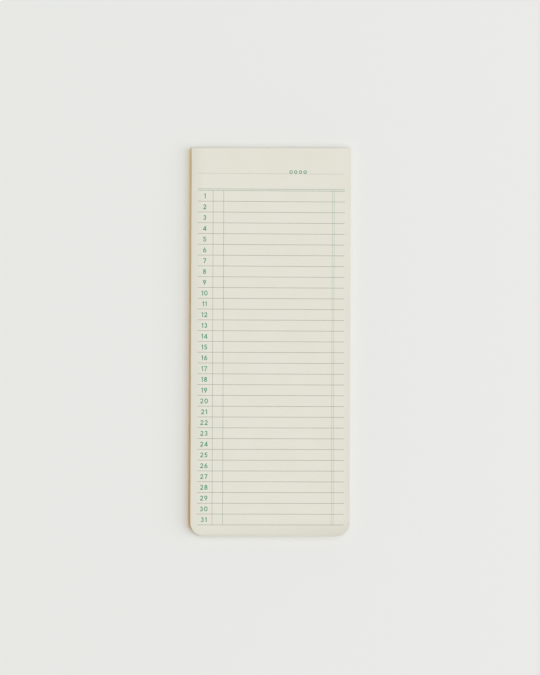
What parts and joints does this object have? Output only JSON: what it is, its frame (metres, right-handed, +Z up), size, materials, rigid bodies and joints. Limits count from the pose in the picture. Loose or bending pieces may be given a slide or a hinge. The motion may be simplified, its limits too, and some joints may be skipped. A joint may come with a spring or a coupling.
{
  "type": "sticky memo pad",
  "caption": "Tall, narrow sticky memo pad: cream sheets ruled and numbered by the day, with round lower corners, each stuck along its top edge and stacked on a stiff backing board.",
  "frame": {"origin": "centre of the underside of the backing board", "axes": "+X across the pad to the right of the print, +Y along the pad towards its stuck edge, +Z up out of the printed faces"},
  "size_m": [0.077, 0.18, 0.0031],
  "materials": {
    "paper": "matte",
    "board": "matte",
    "adhesive": "satin",
    "ink": "matte"
  },
  "bodies": {
    "backing": {"backing_board": "board"},
    "sheet_25": {"sheet_25": "paper", "adhesive_25": "adhesive"},
    "sheet_24": {"sheet_24": "paper", "adhesive_24": "adhesive"},
    "sheet_23": {"sheet_23": "paper", "adhesive_23": "adhesive"},
    "sheet_22": {"sheet_22": "paper", "adhesive_22": "adhesive"},
    "sheet_21": {"sheet_21": "paper", "adhesive_21": "adhesive"},
    "sheet_20": {"sheet_20": "paper", "adhesive_20": "adhesive"},
    "sheet_19": {"sheet_19": "paper", "adhesive_19": "adhesive"},
    "sheet_18": {"sheet_18": "paper", "adhesive_18": "adhesive"},
    "sheet_17": {"sheet_17": "paper", "adhesive_17": "adhesive"},
    "sheet_16": {"sheet_16": "paper", "adhesive_16": "adhesive"},
    "sheet_15": {"sheet_15": "paper", "adhesive_15": "adhesive"},
    "sheet_14": {"sheet_14": "paper", "adhesive_14": "adhesive"},
    "sheet_13": {"sheet_13": "paper", "adhesive_13": "adhesive"},
    "sheet_12": {"sheet_12": "paper", "adhesive_12": "adhesive"},
    "sheet_11": {"sheet_11": "paper", "adhesive_11": "adhesive"},
    "sheet_10": {"sheet_10": "paper", "adhesive_10": "adhesive"},
    "sheet_09": {"sheet_09": "paper", "adhesive_09": "adhesive"},
    "sheet_08": {"sheet_08": "paper", "adhesive_08": "adhesive"},
    "sheet_07": {"sheet_07": "paper", "adhesive_07": "adhesive"},
    "sheet_06": {"sheet_06": "paper", "adhesive_06": "adhesive"},
    "sheet_05": {"sheet_05": "paper", "adhesive_05": "adhesive"},
    "sheet_04": {"sheet_04": "paper", "adhesive_04": "adhesive"},
    "sheet_03": {"sheet_03": "paper", "adhesive_03": "adhesive"},
    "sheet_02": {"sheet_02": "paper", "adhesive_02": "adhesive"},
    "sheet_01": {"sheet_01_bound_edge": "paper", "adhesive_01": "adhesive"},
    "sheet_01_flap": {"sheet_01_flap": "paper"}
  },
  "joints": [
    {"name": "flap_lift", "type": "hinge", "parent": "sheet_01", "child": "sheet_01_flap", "pos_m": [0, 0.072, 0.0031], "axis": [-1, 0, 0], "range_deg": [0, 165]},
    {"name": "sheet_01_peel", "type": "slide", "parent": "sheet_02", "child": "sheet_01", "axis": [0, 0, 1], "range_m": [0, 0.01]},
    {"name": "sheet_02_peel", "type": "slide", "parent": "sheet_03", "child": "sheet_02", "axis": [0, 0, 1], "range_m": [0, 0.01]},
    {"name": "sheet_03_peel", "type": "slide", "parent": "sheet_04", "child": "sheet_03", "axis": [0, 0, 1], "range_m": [0, 0.01]},
    {"name": "sheet_04_peel", "type": "slide", "parent": "sheet_05", "child": "sheet_04", "axis": [0, 0, 1], "range_m": [0, 0.01]},
    {"name": "sheet_05_peel", "type": "slide", "parent": "sheet_06", "child": "sheet_05", "axis": [0, 0, 1], "range_m": [0, 0.01]},
    {"name": "sheet_06_peel", "type": "slide", "parent": "sheet_07", "child": "sheet_06", "axis": [0, 0, 1], "range_m": [0, 0.01]},
    {"name": "sheet_07_peel", "type": "slide", "parent": "sheet_08", "child": "sheet_07", "axis": [0, 0, 1], "range_m": [0, 0.01]},
    {"name": "sheet_08_peel", "type": "slide", "parent": "sheet_09", "child": "sheet_08", "axis": [0, 0, 1], "range_m": [0, 0.01]},
    {"name": "sheet_09_peel", "type": "slide", "parent": "sheet_10", "child": "sheet_09", "axis": [0, 0, 1], "range_m": [0, 0.01]},
    {"name": "sheet_10_peel", "type": "slide", "parent": "sheet_11", "child": "sheet_10", "axis": [0, 0, 1], "range_m": [0, 0.01]},
    {"name": "sheet_11_peel", "type": "slide", "parent": "sheet_12", "child": "sheet_11", "axis": [0, 0, 1], "range_m": [0, 0.01]},
    {"name": "sheet_12_peel", "type": "slide", "parent": "sheet_13", "child": "sheet_12", "axis": [0, 0, 1], "range_m": [0, 0.01]},
    {"name": "sheet_13_peel", "type": "slide", "parent": "sheet_14", "child": "sheet_13", "axis": [0, 0, 1], "range_m": [0, 0.01]},
    {"name": "sheet_14_peel", "type": "slide", "parent": "sheet_15", "child": "sheet_14", "axis": [0, 0, 1], "range_m": [0, 0.01]},
    {"name": "sheet_15_peel", "type": "slide", "parent": "sheet_16", "child": "sheet_15", "axis": [0, 0, 1], "range_m": [0, 0.01]},
    {"name": "sheet_16_peel", "type": "slide", "parent": "sheet_17", "child": "sheet_16", "axis": [0, 0, 1], "range_m": [0, 0.01]},
    {"name": "sheet_17_peel", "type": "slide", "parent": "sheet_18", "child": "sheet_17", "axis": [0, 0, 1], "range_m": [0, 0.01]},
    {"name": "sheet_18_peel", "type": "slide", "parent": "sheet_19", "child": "sheet_18", "axis": [0, 0, 1], "range_m": [0, 0.01]},
    {"name": "sheet_19_peel", "type": "slide", "parent": "sheet_20", "child": "sheet_19", "axis": [0, 0, 1], "range_m": [0, 0.01]},
    {"name": "sheet_20_peel", "type": "slide", "parent": "sheet_21", "child": "sheet_20", "axis": [0, 0, 1], "range_m": [0, 0.01]},
    {"name": "sheet_21_peel", "type": "slide", "parent": "sheet_22", "child": "sheet_21", "axis": [0, 0, 1], "range_m": [0, 0.01]},
    {"name": "sheet_22_peel", "type": "slide", "parent": "sheet_23", "child": "sheet_22", "axis": [0, 0, 1], "range_m": [0, 0.01]},
    {"name": "sheet_23_peel", "type": "slide", "parent": "sheet_24", "child": "sheet_23", "axis": [0, 0, 1], "range_m": [0, 0.01]},
    {"name": "sheet_24_peel", "type": "slide", "parent": "sheet_25", "child": "sheet_24", "axis": [0, 0, 1], "range_m": [0, 0.01]},
    {"name": "sheet_25_peel", "type": "slide", "parent": "backing", "child": "sheet_25", "axis": [0, 0, 1], "range_m": [0, 0.01]}
  ]
}
